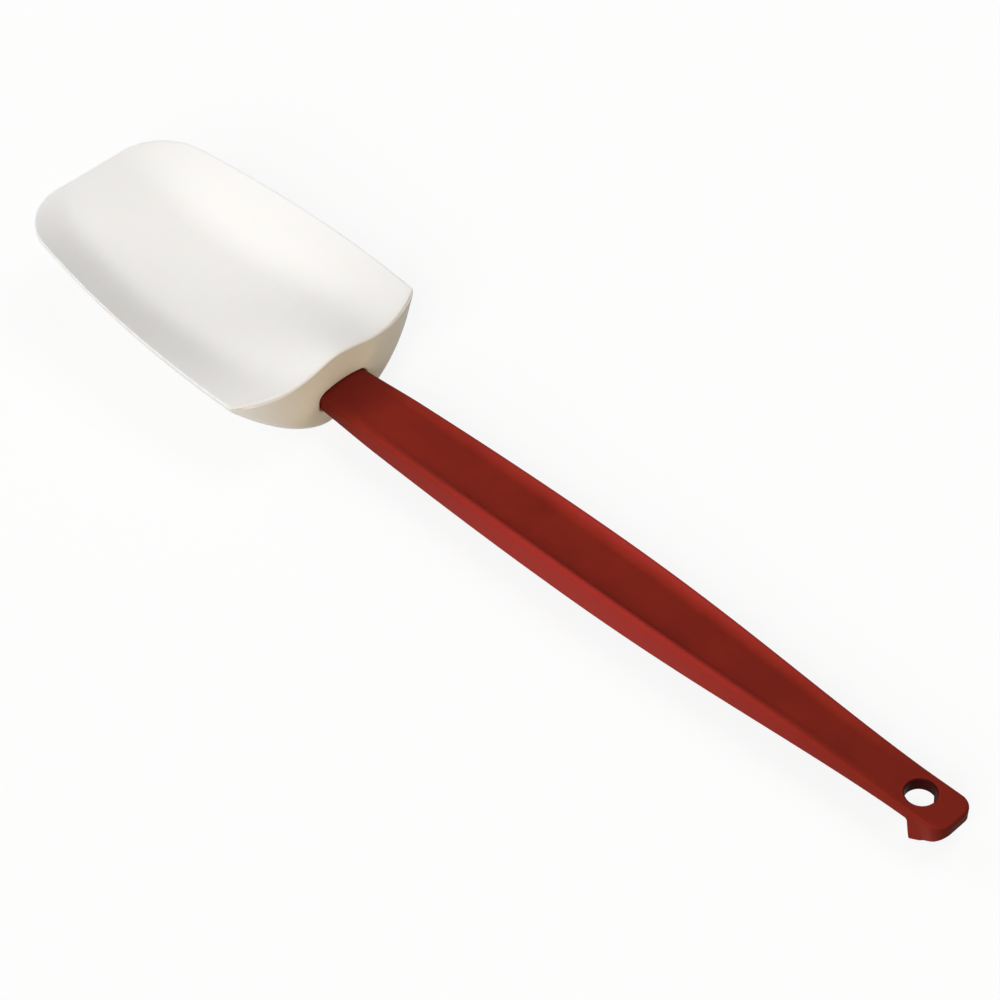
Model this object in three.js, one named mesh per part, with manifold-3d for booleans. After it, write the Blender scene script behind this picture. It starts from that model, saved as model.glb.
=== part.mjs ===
// Spoon spatula: a moulded nylon handle with a windowed tang, and a silicone spoon head moulded round it.
// Millimetres, +Z up. +X runs from the head's tip to the hanging end of the handle, and +Y across it.
// The spatula lies on z = 0, on the keel under its head and on the foot under the handle's end.
// Every section is worked out at a station: the distance along X from the head's back wall.

import * as THREE from 'three';
import { mergeVertices } from 'three/addons/utils/BufferGeometryUtils.js';
import Module from 'manifold-3d';

// Overall
const HEAD_LENGTH = 112; // tip edge to back wall
const HANDLE_LENGTH = 231; // back wall to hanging end
const AXIS_HEIGHT = 10; // the handle's middle plane above the table
const FIT_GAP = 0.3; // between the tang and the silicone round it

// Spoon head: plan outline
const TIP_WIDTH = 56.4; // where the side lines would meet the tip edge
const BACK_WIDTH = 72; // between the two back corners
const SIDE_BULGE = 3.5; // each side bows out this far at half length
const TIP_CORNER = 15; // radius of the tip's corners
const SHOULDER_SWEEP = 6.5; // the back corners sit this far forward of the back wall

// Spoon head: bowl and rim
const RIM_HEIGHT_TIP = 28.2; // rim above the table
const RIM_HEIGHT_BACK = 21.9;
const RIM_THICKNESS = 1.5;
const TANG_COVER = 1.7; // silicone between the tang and the bowl's deepest floor
const SADDLE_DIP = 1; // the back edge dips this far between its corners
const HUMP_HEIGHT = 3.4; // swelling of the back edge over the handle's root
const HUMP_SPREAD = 11.7; // half width of that swelling
const HUMP_LENGTH = 56; // it fades out this far into the bowl
const FLOOR_SHARE = 0.36; // share of the half width that the bowl's level floor takes
const WALL_SHARE = 0.74; // share where its fillet ends and the straight side wall begins

// Spoon head: underside
const KEEL_WIDTH = 12; // flat strip that the head rests on
const KEEL_LENGTH = 30; // from the back wall forward

// Tang inside the head
const TANG_LENGTH = 56; // from the back wall forward
const TANG_WIDTH_ROOT = 14;
const TANG_WIDTH_END = 11;
const TANG_THICKNESS = 4;
const TANG_CORNER = 4;
const NECK_INSET = 4; // the full neck goes this far into the head
const NECK_SHOULDER = 1.5; // length of the step from neck to tang
const WINDOW_COUNT = 3;
const WINDOW_DIAMETER = 6;
const WINDOW_PITCH = 15;
const WINDOW_FIRST = 14; // back wall to the first window's centre

// Handle: plan outline and web
const NECK_WIDTH = 18.2; // at the back wall
const NECK_THICKNESS = 5.8;
const GRIP_WIDTH = 21.4; // widest place
const GRIP_STATION = 94;
const END_THICKNESS = 3.8;
const END_CORNER = 4.5; // plan radius of the hanging end's corners
const EDGE_ROUND = 0.9; // radius along the long edges
const NECK_ROUND = 2.7; // the same at the back wall
const NECK_BLEND = 25; // the neck's radius runs down to the other over this length

// Handle: raised rails along both edges, on both faces
const RAIL_HEIGHT = 2.4; // above the web at the tallest place
const RAIL_FLANK = 3.2; // width of the slope from crest to web
const RAIL_START = 2;
const RAIL_SETBACK = 17; // the rails fade out this far from the hanging end

// Hanging hole and foot
const HOLE_DIAMETER = 8.5;
const HOLE_WALL = 2.8; // nylon beside the hole
const HOLE_SETBACK = 12.5; // hole's centre to the hanging end
const HOLE_CHAMFER = 0.5;
const FOOT_ROOT_LENGTH = 11.1; // foot's length where it leaves the web
const FOOT_RAMP = 0.6; // its steep front, along X
const FOOT_SOLE = 2.6; // flat sole, from which its back rises to the hanging end
const FOOT_TAIL = 1.6; // its back still hangs this far below the web at the hanging end
const FOOT_DRAFT = 1; // each side draws in this far at the sole

// Fineness of the facets
const HEAD_CORNER_STEPS = 10;
const HEAD_STEPS = 28;
const HEAD_STRIPS = 24;
const STRIP_CROWDING = 0.5; // draws the head's strips towards its rims
const GRIP_STEPS = 34;
const CORNER_STEPS = 5;
const FOOT_STEPS = 6;
const FLANK_STEPS = 4;
const EDGE_STEPS = 2;
const ROUND_SIDES = 28;
const MERGE_TOLERANCE = 1e-5; // points closer than this are one

// Exponents of the curved forms
const BOWL_LEAN = 0.9; // moves the deepest place towards the tip
const SADDLE_POWER = 3;
const SWEEP_POWER = 3.3;
const KEEL_POWER = 2; // rise of the keel to the tip
const HULL_POWER_TIP = 2.3; // cross curve of the underside at the tip
const HULL_POWER_BACK = 1.4; // and at the back wall
const RAIL_POWER = 1.2;
const TAPER_POWER = 1.2; // carries the grip's width towards the hanging end
const FLANK_SHARE = 0.9; // most of the half width that an edge's round or a rail's slope may take

const END_WIDTH = HOLE_DIAMETER + 2 * HOLE_WALL;
const HOLE_STATION = HANDLE_LENGTH - HOLE_SETBACK;
const FOOT_STATION = HANDLE_LENGTH - FOOT_ROOT_LENGTH;
const RAIL_END = HANDLE_LENGTH - RAIL_SETBACK;
const BACK_WALL_X = (HEAD_LENGTH - HANDLE_LENGTH) / 2; // centres the whole length on x = 0

const wasm = await Module();
wasm.setup();

const { lerp, smoothstep } = THREE.MathUtils;

// Returns count + 1 evenly spaced numbers from first to last.
function steps(first, last, count) {
  return Array.from({ length: count + 1 }, (_, k) => lerp(first, last, k / count));
}

// Half width lost to a rounded plan corner, at a distance in from the end of the piece.
function cornerLoss(radius, distance) {
  const inset = radius - Math.min(Math.max(distance, 0), radius);
  return radius - Math.sqrt(radius * radius - inset * inset);
}

// Distances from an end that follow a rounded corner in even turns.
function cornerStations(radius, count) {
  return steps(0, Math.PI / 2, count).map((turn) => radius * (1 - Math.cos(turn)));
}

// Skins a row of closed rings into one closed body, along +X. A ring holds its lower points from -Y to +Y
// and then its upper points from +Y to -Y, so that a strip between the two halves closes each end.
function loft(rings) {
  const sides = rings[0].length;
  const half = sides / 2;
  const index = [];
  for (let r = 0; r + 1 < rings.length; r += 1) {
    for (let k = 0; k < sides; k += 1) {
      const a = r * sides + k;
      const b = r * sides + ((k + 1) % sides);
      index.push(a, b, a + sides, b, b + sides, a + sides);
    }
  }
  const last = (rings.length - 1) * sides;
  for (let k = 0; k + 1 < half; k += 1) {
    const [low, lowNext] = [k, k + 1];
    const [high, highNext] = [sides - 1 - k, sides - 2 - k];
    index.push(low, highNext, lowNext, low, high, highNext);
    index.push(last + low, last + lowNext, last + highNext, last + low, last + highNext, last + high);
  }
  const geometry = new THREE.BufferGeometry();
  const points = rings.flat().flatMap((p) => [p.x, p.y, p.z]);
  geometry.setAttribute('position', new THREE.Float32BufferAttribute(points, 3));
  geometry.setIndex(index);
  return geometry;
}

// Turns a closed geometry into a solid that can be joined and cut.
function toSolid(geometry) {
  const bare = geometry.clone();
  bare.deleteAttribute('normal');
  bare.deleteAttribute('uv');
  const merged = mergeVertices(bare, MERGE_TOLERANCE);
  return new wasm.Manifold(new wasm.Mesh({
    numProp: 3,
    vertProperties: new Float32Array(merged.getAttribute('position').array),
    triVerts: new Uint32Array(merged.getIndex().array),
  }));
}

// Turns a solid back into a named mesh with its own material.
function toMesh(name, solid, material) {
  const { vertProperties, triVerts } = solid.getMesh();
  const geometry = new THREE.BufferGeometry();
  geometry.setAttribute('position', new THREE.BufferAttribute(new Float32Array(vertProperties), 3));
  geometry.setIndex(new THREE.BufferAttribute(new Uint32Array(triVerts), 1));
  geometry.computeVertexNormals();
  const mesh = new THREE.Mesh(geometry, material);
  mesh.name = name;
  return mesh;
}

// A round cutter that stands upright at a station, between two heights.
function uprightPin(station, radius, low, high) {
  const pin = new THREE.CylinderGeometry(radius, radius, high - low, ROUND_SIDES);
  pin.rotateX(Math.PI / 2);
  pin.translate(station, 0, (low + high) / 2);
  return toSolid(pin);
}

// Centres of the windows that the silicone flows through.
function windowStations() {
  return Array.from({ length: WINDOW_COUNT }, (_, k) => -(WINDOW_FIRST + k * WINDOW_PITCH));
}

// Tang: a flat bar that narrows to a rounded end, from the neck's step forward.
const TANG_ROOT = -(NECK_INSET + NECK_SHOULDER);

function tangHalfWidth(station) {
  const along = (TANG_ROOT - station) / (TANG_LENGTH + TANG_ROOT);
  return lerp(TANG_WIDTH_ROOT, TANG_WIDTH_END, along) / 2 - cornerLoss(TANG_CORNER, station + TANG_LENGTH);
}

// Handle: a quadratic swelling from the neck to the grip, then a half cosine down to the hanging end.
function gripHalfWidth(station) {
  if (station < GRIP_STATION) {
    const back = 1 - Math.max(station, 0) / GRIP_STATION;
    return lerp(GRIP_WIDTH, NECK_WIDTH, back * back) / 2;
  }
  const along = Math.min((station - GRIP_STATION) / (HOLE_STATION - GRIP_STATION), 1);
  const swell = (1 + Math.cos(Math.PI * along ** TAPER_POWER)) / 2;
  return lerp(END_WIDTH, GRIP_WIDTH, swell) / 2 - cornerLoss(END_CORNER, HANDLE_LENGTH - station);
}

function webHalfThickness(station) {
  return lerp(NECK_THICKNESS, END_THICKNESS, Math.max(station, 0) / HANDLE_LENGTH) / 2;
}

// The rails rise as a powered sine between their two ends.
function railHeight(station) {
  const along = (station - RAIL_START) / (RAIL_END - RAIL_START);
  return along > 0 && along < 1 ? RAIL_HEIGHT * Math.sin(Math.PI * along) ** RAIL_POWER : 0;
}

// The foot's share of its full depth: an eased front, a level sole, and a back that rises to the end.
function footShare(station) {
  const soleEnd = FOOT_STATION + FOOT_RAMP + FOOT_SOLE;
  const rise = smoothstep(station, FOOT_STATION, FOOT_STATION + FOOT_RAMP);
  const fall = Math.max(station - soleEnd, 0) / (HANDLE_LENGTH - soleEnd);
  const tail = FOOT_TAIL / (AXIS_HEIGHT - END_THICKNESS / 2);
  return rise * lerp(1, tail, fall);
}

// Radius of the long edges: fuller at the neck.
function edgeRadius(station) {
  return lerp(NECK_ROUND, EDGE_ROUND, smoothstep(station, 0, NECK_BLEND));
}

// Half of one face of the handle, from the side edge to the middle: a rounded edge up to the rail's crest,
// then a half cosine down its flank to the web. Each point is [y, height above the middle plane].
function faceProfile(halfWidth, web, rail, radius) {
  const round = Math.min(radius, web, halfWidth * FLANK_SHARE);
  const crest = web + rail;
  const edge = steps(0, Math.PI / 2, EDGE_STEPS).map((turn) => [
    halfWidth - round * (1 - Math.cos(turn)),
    crest - round * (1 - Math.sin(turn)),
  ]);
  const reach = Math.min(RAIL_FLANK, (halfWidth - round) * FLANK_SHARE);
  const flank = steps(0, 1, FLANK_STEPS).slice(1).map((k) => [
    halfWidth - round - reach * k,
    web + rail * (1 + Math.cos(Math.PI * k)) / 2,
  ]);
  return [...edge, ...flank];
}

// A ring of the handle at a station, symmetric about the XZ plane. The grow value swells it on all sides,
// and the foot value lowers its underside towards the table and draws the sides in there.
function handleRing(station, halfWidth, web, { radius, rail = 0, foot = 0, grow = 0 }) {
  const face = faceProfile(halfWidth + grow, web + grow, rail, radius);
  const mirrored = face.map(([y, z]) => [-y, z]);
  const upper = [...face, ...mirrored.reverse()];
  const drop = foot * (AXIS_HEIGHT - web);
  const narrow = 1 - (foot * FOOT_DRAFT) / halfWidth;
  const top = upper.map(([y, z]) => new THREE.Vector3(station, y, AXIS_HEIGHT + z));
  const bottom = upper.map(([y, z]) => new THREE.Vector3(station, -y * narrow, AXIS_HEIGHT - z - drop));
  return [...bottom, ...top];
}

// Rings of the tang and the neck, up to the station where the neck ends.
function rootRings(neckEnd, grow) {
  const round = cornerStations(TANG_CORNER, CORNER_STEPS).map((distance) => distance - TANG_LENGTH);
  const tang = [...round, TANG_ROOT].map((station) => (
    handleRing(station - grow, tangHalfWidth(station), TANG_THICKNESS / 2, { radius: EDGE_ROUND, grow })
  ));
  const neck = [-NECK_INSET - grow, neckEnd].map((station) => (
    handleRing(station, NECK_WIDTH / 2, NECK_THICKNESS / 2, { radius: NECK_ROUND, grow })
  ));
  return [...tang, ...neck];
}

function makeHandle() {
  const rounding = cornerStations(END_CORNER, CORNER_STEPS).map((distance) => HANDLE_LENGTH - distance);
  const stations = [
    ...steps(RAIL_START, RAIL_END, GRIP_STEPS),
    HOLE_STATION,
    ...steps(FOOT_STATION, FOOT_STATION + FOOT_RAMP, FOOT_STEPS),
    FOOT_STATION + FOOT_RAMP + FOOT_SOLE,
    ...rounding,
  ].sort((a, b) => a - b);
  const grip = stations.map((station) => {
    const radius = edgeRadius(station);
    const [rail, foot] = [railHeight(station), footShare(station)];
    return handleRing(station, gripHalfWidth(station), webHalfThickness(station), { radius, rail, foot });
  });
  let solid = toSolid(loft([...rootRings(0, 0), ...grip]));
  for (const station of windowStations()) {
    solid = solid.subtract(uprightPin(station, WINDOW_DIAMETER / 2, 0, 2 * AXIS_HEIGHT));
  }
  return solid.subtract(holeCutter());
}

// The hanging hole, flared at the upper face.
function holeCutter() {
  const radius = HOLE_DIAMETER / 2;
  const face = AXIS_HEIGHT + webHalfThickness(HOLE_STATION);
  const profile = [
    [0, -AXIS_HEIGHT],
    [radius, -AXIS_HEIGHT],
    [radius, face - HOLE_CHAMFER],
    [radius + HOLE_CHAMFER, face],
    [radius + HOLE_CHAMFER, face + AXIS_HEIGHT],
    [0, face + AXIS_HEIGHT],
  ].map(([r, z]) => new THREE.Vector2(r, z));
  const cutter = new THREE.LatheGeometry(profile, ROUND_SIDES);
  cutter.rotateX(Math.PI / 2);
  cutter.translate(HOLE_STATION, 0, 0);
  return toSolid(cutter);
}

// Spoon head. Here u runs from 0 at the tip to 1 at the back wall, and s from -1 to 1 across the width.
function headHalfWidth(u) {
  const side = lerp(TIP_WIDTH, BACK_WIDTH, u) / 2 + SIDE_BULGE * 4 * u * (1 - u);
  return side - cornerLoss(TIP_CORNER, u * (HEAD_LENGTH - SHOULDER_SWEEP));
}

function rimHeight(u) {
  return lerp(RIM_HEIGHT_TIP, RIM_HEIGHT_BACK, u);
}

// Middle line of the bowl: at the rim's height at both ends, and just above the tang at the deepest place.
function floorHeight(u) {
  const deepest = AXIS_HEIGHT + TANG_THICKNESS / 2 + FIT_GAP + TANG_COVER;
  return lerp(rimHeight(u), deepest, Math.sin(Math.PI * u ** BOWL_LEAN));
}

// Share of the way up to the rim: level in the floor, then a fillet whose slope grows as a smooth step,
// then a straight wall.
function wallRise(across) {
  const fillet = WALL_SHARE - FLOOR_SHARE;
  const turn = Math.min(Math.max((across - FLOOR_SHARE) / fillet, 0), 1);
  const rise = fillet * (turn ** 3 - turn ** 4 / 2) + Math.max(across - WALL_SHARE, 0);
  return rise / (fillet / 2 + 1 - WALL_SHARE);
}

// Bowl surface: the floor curves up to the rim, and swells over the handle's root at the back.
function bowlHeight(u, s) {
  const floor = floorHeight(u);
  const across = Math.abs(s);
  const fade = smoothstep(u, 1 - HUMP_LENGTH / HEAD_LENGTH, 1);
  const y = s * headHalfWidth(u);
  const hump = HUMP_HEIGHT * Math.exp(-((y / HUMP_SPREAD) ** 2));
  const saddle = SADDLE_DIP * (1 - across ** SADDLE_POWER);
  return lerp(floor, rimHeight(u), wallRise(across)) + fade * (hump - saddle);
}

// Underside: a flat keel that rises to the tip, with sides that curve up to the rim's lower edge, more
// steeply out at the rim towards the tip.
function hullHeight(u, s) {
  const forward = HEAD_LENGTH * (1 - u) - KEEL_LENGTH;
  const rise = Math.max(forward, 0) / (HEAD_LENGTH - KEEL_LENGTH);
  const keel = (RIM_HEIGHT_TIP - RIM_THICKNESS) * rise ** KEEL_POWER;
  const halfWidth = headHalfWidth(u);
  const out = Math.max(Math.abs(s) * halfWidth - KEEL_WIDTH / 2, 0) / (halfWidth - KEEL_WIDTH / 2);
  return lerp(keel, rimHeight(u) - RIM_THICKNESS, out ** lerp(HULL_POWER_TIP, HULL_POWER_BACK, u));
}

function headRing(u) {
  const halfWidth = headHalfWidth(u);
  const across = steps(-1, 1, HEAD_STRIPS).map((t) => lerp(t, Math.sin((Math.PI / 2) * t), STRIP_CROWDING));
  const point = (s, height) => new THREE.Vector3(
    -HEAD_LENGTH + u * (HEAD_LENGTH - SHOULDER_SWEEP * Math.abs(s) ** SWEEP_POWER),
    s * halfWidth,
    height,
  );
  const bottom = across.map((s) => point(s, hullHeight(u, s)));
  const top = across.map((s) => point(s, bowlHeight(u, s))).reverse();
  return [...bottom, ...top];
}

// The socket is the tang and neck swollen by the fit, less the posts that fill the tang's windows.
function socketCutter() {
  let cutter = toSolid(loft(rootRings(AXIS_HEIGHT, FIT_GAP)));
  for (const station of windowStations()) {
    cutter = cutter.subtract(uprightPin(station, WINDOW_DIAMETER / 2 - FIT_GAP, 0, 2 * AXIS_HEIGHT));
  }
  return cutter;
}

function makeHead() {
  const sideLength = HEAD_LENGTH - SHOULDER_SWEEP;
  const cornerEnd = TIP_CORNER / sideLength;
  const corner = cornerStations(TIP_CORNER, HEAD_CORNER_STEPS).map((distance) => distance / sideLength);
  const body = steps(cornerEnd, 1, HEAD_STEPS).slice(1);
  return toSolid(loft([...corner, ...body].map(headRing))).subtract(socketCutter());
}

const redNylon = new THREE.MeshStandardMaterial({ color: '#8c2420', roughness: 0.5, metalness: 0 });
const whiteSilicone = new THREE.MeshStandardMaterial({ color: '#f3efe6', roughness: 0.55, metalness: 0 });

const spatula = new THREE.Group();
spatula.name = 'spoon_spatula';
spatula.position.x = BACK_WALL_X;
spatula.add(toMesh('handle', makeHandle(), redNylon));
spatula.add(toMesh('spoon_head', makeHead(), whiteSilicone));

export default spatula;
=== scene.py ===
"""Dresses a spoon spatula: a red nylon handle with raised rails, and a white silicone head round its tang.

Everything is in metres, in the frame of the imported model: +X runs from the head's tip to the hanging end
of the handle, +Y across it, and +Z up from the table. A station is a distance along X from the packed
head's back wall.
"""

import logging
import math
from dataclasses import dataclass
from enum import Enum
from typing import Any, Union

import bmesh
import bpy
import numpy as np
from mathutils import Matrix, Vector


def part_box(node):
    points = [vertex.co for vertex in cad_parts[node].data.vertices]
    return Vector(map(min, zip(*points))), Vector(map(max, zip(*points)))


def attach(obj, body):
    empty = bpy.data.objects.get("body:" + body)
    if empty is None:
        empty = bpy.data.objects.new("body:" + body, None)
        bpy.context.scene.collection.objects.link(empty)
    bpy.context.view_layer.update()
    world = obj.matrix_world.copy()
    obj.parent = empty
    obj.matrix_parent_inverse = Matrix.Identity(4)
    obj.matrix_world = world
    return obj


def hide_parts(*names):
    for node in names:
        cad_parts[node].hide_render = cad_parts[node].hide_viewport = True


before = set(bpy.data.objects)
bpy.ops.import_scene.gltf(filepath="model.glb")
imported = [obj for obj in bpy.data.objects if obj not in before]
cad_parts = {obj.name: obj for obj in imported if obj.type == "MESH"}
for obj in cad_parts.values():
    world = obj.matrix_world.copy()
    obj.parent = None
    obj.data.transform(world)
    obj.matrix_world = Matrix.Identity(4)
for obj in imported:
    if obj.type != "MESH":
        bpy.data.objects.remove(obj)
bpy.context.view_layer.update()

LOG = logging.getLogger("spoon_spatula")
BODY = "root"
MM = 0.001
MERGE_DISTANCE = 1e-7
LEAST_SLOPE = 1e-9
CREASE_ANGLE = math.radians(38)
CROWN_ROUNDS = 6

Number = Union[float, np.ndarray]
Colour = tuple[float, float, float, float]


class Mark(Enum):
    """Values that a mesh carries at its points and that its material reads."""

    # Painted warm shade on the head's back wall.
    WARM_SHADE = "warm_shade"
    # Handling marks and painted light on the handle: lighter rails, and painted shade below 0.
    WEAR_AND_PAINTED_LIGHT = "wear_and_painted_light"


def between(first: Number, last: Number, share: Number) -> Number:
    """Straight blend: first where the share is 0, last where it is 1."""
    return first + (last - first) * share


def eased(value: Number, low: float, high: float) -> Number:
    """Smooth step: 3t^2 - 2t^3 of the share t of the way from low to high, held at 0 and 1 outside."""
    share = np.clip((value - low) / (high - low), 0.0, 1.0)
    return share * share * (3.0 - 2.0 * share)


def round_loss(radius: Number, inset: Number) -> Number:
    """Depth lost to a rounded edge: r - sqrt(r^2 - (r - d)^2) at an inset d, and 0 past d = r."""
    short = radius - np.clip(inset, 0.0, radius)
    return radius - np.sqrt(radius * radius - short * short)


def quarter_turn(count: int) -> np.ndarray:
    """Angles of a quarter circle in so many even steps, both ends included."""
    return np.linspace(0.0, math.pi / 2, count + 1)


def turn_steps(radius: float, count: int) -> np.ndarray:
    """Insets r (1 - cos a) from an edge, for the angles a of a quarter circle in so many even steps."""
    return radius * (1.0 - np.cos(quarter_turn(count)))


def corner_inset(radius: float, from_end: Number, from_side: Number) -> Number:
    """Distance in from a plan outline with one rounded corner, for points up to a corner radius inside it.

    The distance is r - |(r - a, r - b)|, where a and b are the distances from the end line and from the
    side line, and a leg of the vector that would be negative is 0.

    Args:
        radius: Radius of the corner.
        from_end: Distance from the end line.
        from_side: Distance from the side line.

    Returns:
        The inset from the rounded outline.
    """
    return radius - np.hypot(np.maximum(radius - from_end, 0.0), np.maximum(radius - from_side, 0.0))


def slot_reach(angle: np.ndarray, wide: Number, tall: Number, radius: Number) -> np.ndarray:
    """Distance from the middle of a rounded rectangle to its edge, in each direction.

    A ray meets the upright side at w / cos a, the level side at h / sin a, or the corner circle at the
    larger root of t^2 - 2 t p + |c|^2 - r^2 = 0, where c is the corner's centre and p its distance along
    the ray.

    Args:
        angle: Directions, from the wide axis.
        wide: Half of the width.
        tall: Half of the height.
        radius: Radius of the corners.

    Returns:
        The distance to the edge in each direction.
    """
    cos = np.maximum(np.abs(np.cos(angle)), LEAST_SLOPE)
    sin = np.maximum(np.abs(np.sin(angle)), LEAST_SLOPE)
    centre_wide, centre_tall = wide - radius, tall - radius
    along = cos * centre_wide + sin * centre_tall
    gap = centre_wide**2 + centre_tall**2 - radius**2
    corner = along + np.sqrt(np.maximum(along * along - gap, 0.0))
    side, level = wide / cos, tall / sin
    return np.where(side * sin <= centre_tall, side, np.where(level * cos <= centre_wide, level, corner))


def crowned_reach(
    angle: np.ndarray, wide: Number, tall: Number, radius: Number, crown: Number
) -> np.ndarray:
    """Distance from the middle of a crowned slot to its edge, in each direction.

    The slot is a rounded rectangle whose level sides bow out as a parabola, by the crown at their
    middle. Each round takes the bow at the last round's points, and a few rounds settle it.

    Args:
        angle: Directions, from the wide axis.
        wide: Half of the width.
        tall: Half of the height at the corners.
        radius: Radius of the corners.
        crown: How far the level sides bow out.

    Returns:
        The distance to the edge in each direction.
    """
    reach = slot_reach(angle, wide, tall, radius)
    for _ in range(CROWN_ROUNDS):
        across = np.clip(reach * np.cos(angle) / wide, -1.0, 1.0)
        reach = slot_reach(angle, wide, tall + crown * (1 - across * across), radius)
    return reach


def mesh_object(
    name: str, points: np.ndarray, faces: np.ndarray, marks: dict[Mark, np.ndarray]
) -> bpy.types.Object:
    """Makes a closed, smooth mesh object from points and quads.

    Args:
        name: Name of the object and of its mesh.
        points: Points as rows of x, y and z.
        faces: Quads as rows of four point numbers.
        marks: Values that the mesh carries, one for each point.

    Returns:
        The new object, at the origin, with doubles merged and faces pointing outwards.
    """
    mesh = bpy.data.meshes.new(name)
    mesh.from_pydata(points, [], faces.tolist())
    for mark, values in marks.items():
        layer = mesh.attributes.new(mark.value, "FLOAT", "POINT")
        layer.data.foreach_set("value", values.astype(np.float32).ravel())
    shape = bmesh.new()
    shape.from_mesh(mesh)
    bmesh.ops.remove_doubles(shape, verts=shape.verts, dist=MERGE_DISTANCE)
    bmesh.ops.dissolve_degenerate(shape, edges=shape.edges, dist=MERGE_DISTANCE)
    bmesh.ops.recalc_face_normals(shape, faces=shape.faces)
    shape.to_mesh(mesh)
    shape.free()
    smooth(mesh)
    piece = bpy.data.objects.new(name, mesh)
    bpy.context.scene.collection.objects.link(piece)
    return piece


def smooth(mesh: bpy.types.Mesh) -> None:
    """Shades a mesh smooth, with a crease wherever two faces meet more sharply than the crease angle."""
    mesh.polygons.foreach_set("use_smooth", np.ones(len(mesh.polygons), bool))
    mesh.set_sharp_from_angle(angle=CREASE_ANGLE)


def ring_faces(rings: int, sides: int, first_cap: bool, last_cap: bool) -> np.ndarray:
    """Quads that skin a row of closed rings.

    Point k of ring r has the number r * sides + k. A ring's first half is its underside and its second
    half its upper side run back, so a cap is the strip of quads between the two halves.

    Args:
        rings: How many rings there are.
        sides: How many points each ring has.
        first_cap: Whether the first ring is capped.
        last_cap: Whether the last ring is capped.

    Returns:
        Rows of four point numbers.
    """
    start = np.arange(rings - 1)[:, None] * sides
    near = np.arange(sides)[None, :]
    far = (near + 1) % sides
    walls = np.stack([start + near, start + far, start + far + sides, start + near + sides], axis=-1)
    low = np.arange(sides // 2 - 1)
    strip = np.stack([low, sides - 1 - low, sides - 2 - low, low + 1], axis=-1)
    ends = [strip] if first_cap else []
    ends += [strip[:, ::-1] + (rings - 1) * sides] if last_cap else []
    return np.concatenate([walls.reshape(-1, 4), *ends])


def lathe(name: str, profile: np.ndarray, axis_x: float, sides: int) -> bpy.types.Object:
    """Turns a closed profile of radius and height round an upright axis, for use as a cutter.

    Args:
        name: Name of the cutter.
        profile: Rows of radius and height, from the foot to the top of the cutter.
        axis_x: Where the axis stands.
        sides: How many sides the round has.

    Returns:
        The closed cutter.
    """
    turn = np.linspace(0.0, 2 * math.pi, sides, endpoint=False)
    radius, height = profile[:, :1], profile[:, 1:]
    rings = np.stack([axis_x + radius * np.cos(turn), radius * np.sin(turn), height + 0.0 * turn], axis=-1)
    faces = ring_faces(len(profile), sides, first_cap=True, last_cap=True)
    return mesh_object(name, rings.reshape(-1, 3), faces, {})


def carve(piece: bpy.types.Object, cutter: bpy.types.Object) -> None:
    """Cuts a cutter out of a piece for good, and removes the cutter.

    Args:
        piece: The piece, which gets a new mesh.
        cutter: The closed shape that is taken away.
    """
    step = piece.modifiers.new("carve", "BOOLEAN")
    step.operation = "DIFFERENCE"
    step.solver = "EXACT"
    step.object = cutter
    graph = bpy.context.evaluated_depsgraph_get()
    made = bpy.data.meshes.new_from_object(piece.evaluated_get(graph))
    piece.modifiers.remove(step)
    piece.data = made
    made.name = piece.name
    smooth(made)
    bpy.data.objects.remove(cutter)


class Signal:
    """A shader value that takes part in Python arithmetic: each operator adds one Math node."""

    def __init__(self, paint: "Paint", socket: Union[bpy.types.NodeSocket, None]) -> None:
        """Wraps an output socket of the paint's node tree, or nothing for a node without outputs."""
        self.paint = paint
        self.socket = socket

    def _math(self, operation: str, first: Any, second: Any) -> "Signal":
        """Adds a Math node for one operation on two values."""
        return self.paint.node("ShaderNodeMath", {"operation": operation}, {0: first, 1: second})

    def __add__(self, other: Any) -> "Signal":
        """Sum of two values."""
        return self._math("ADD", self, other)

    __radd__ = __add__

    def __sub__(self, other: Any) -> "Signal":
        """This value less another."""
        return self._math("SUBTRACT", self, other)

    def __rsub__(self, other: Any) -> "Signal":
        """Another value less this one."""
        return self._math("SUBTRACT", other, self)

    def __mul__(self, other: Any) -> "Signal":
        """Product of two values."""
        return self._math("MULTIPLY", self, other)

    __rmul__ = __mul__


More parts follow.
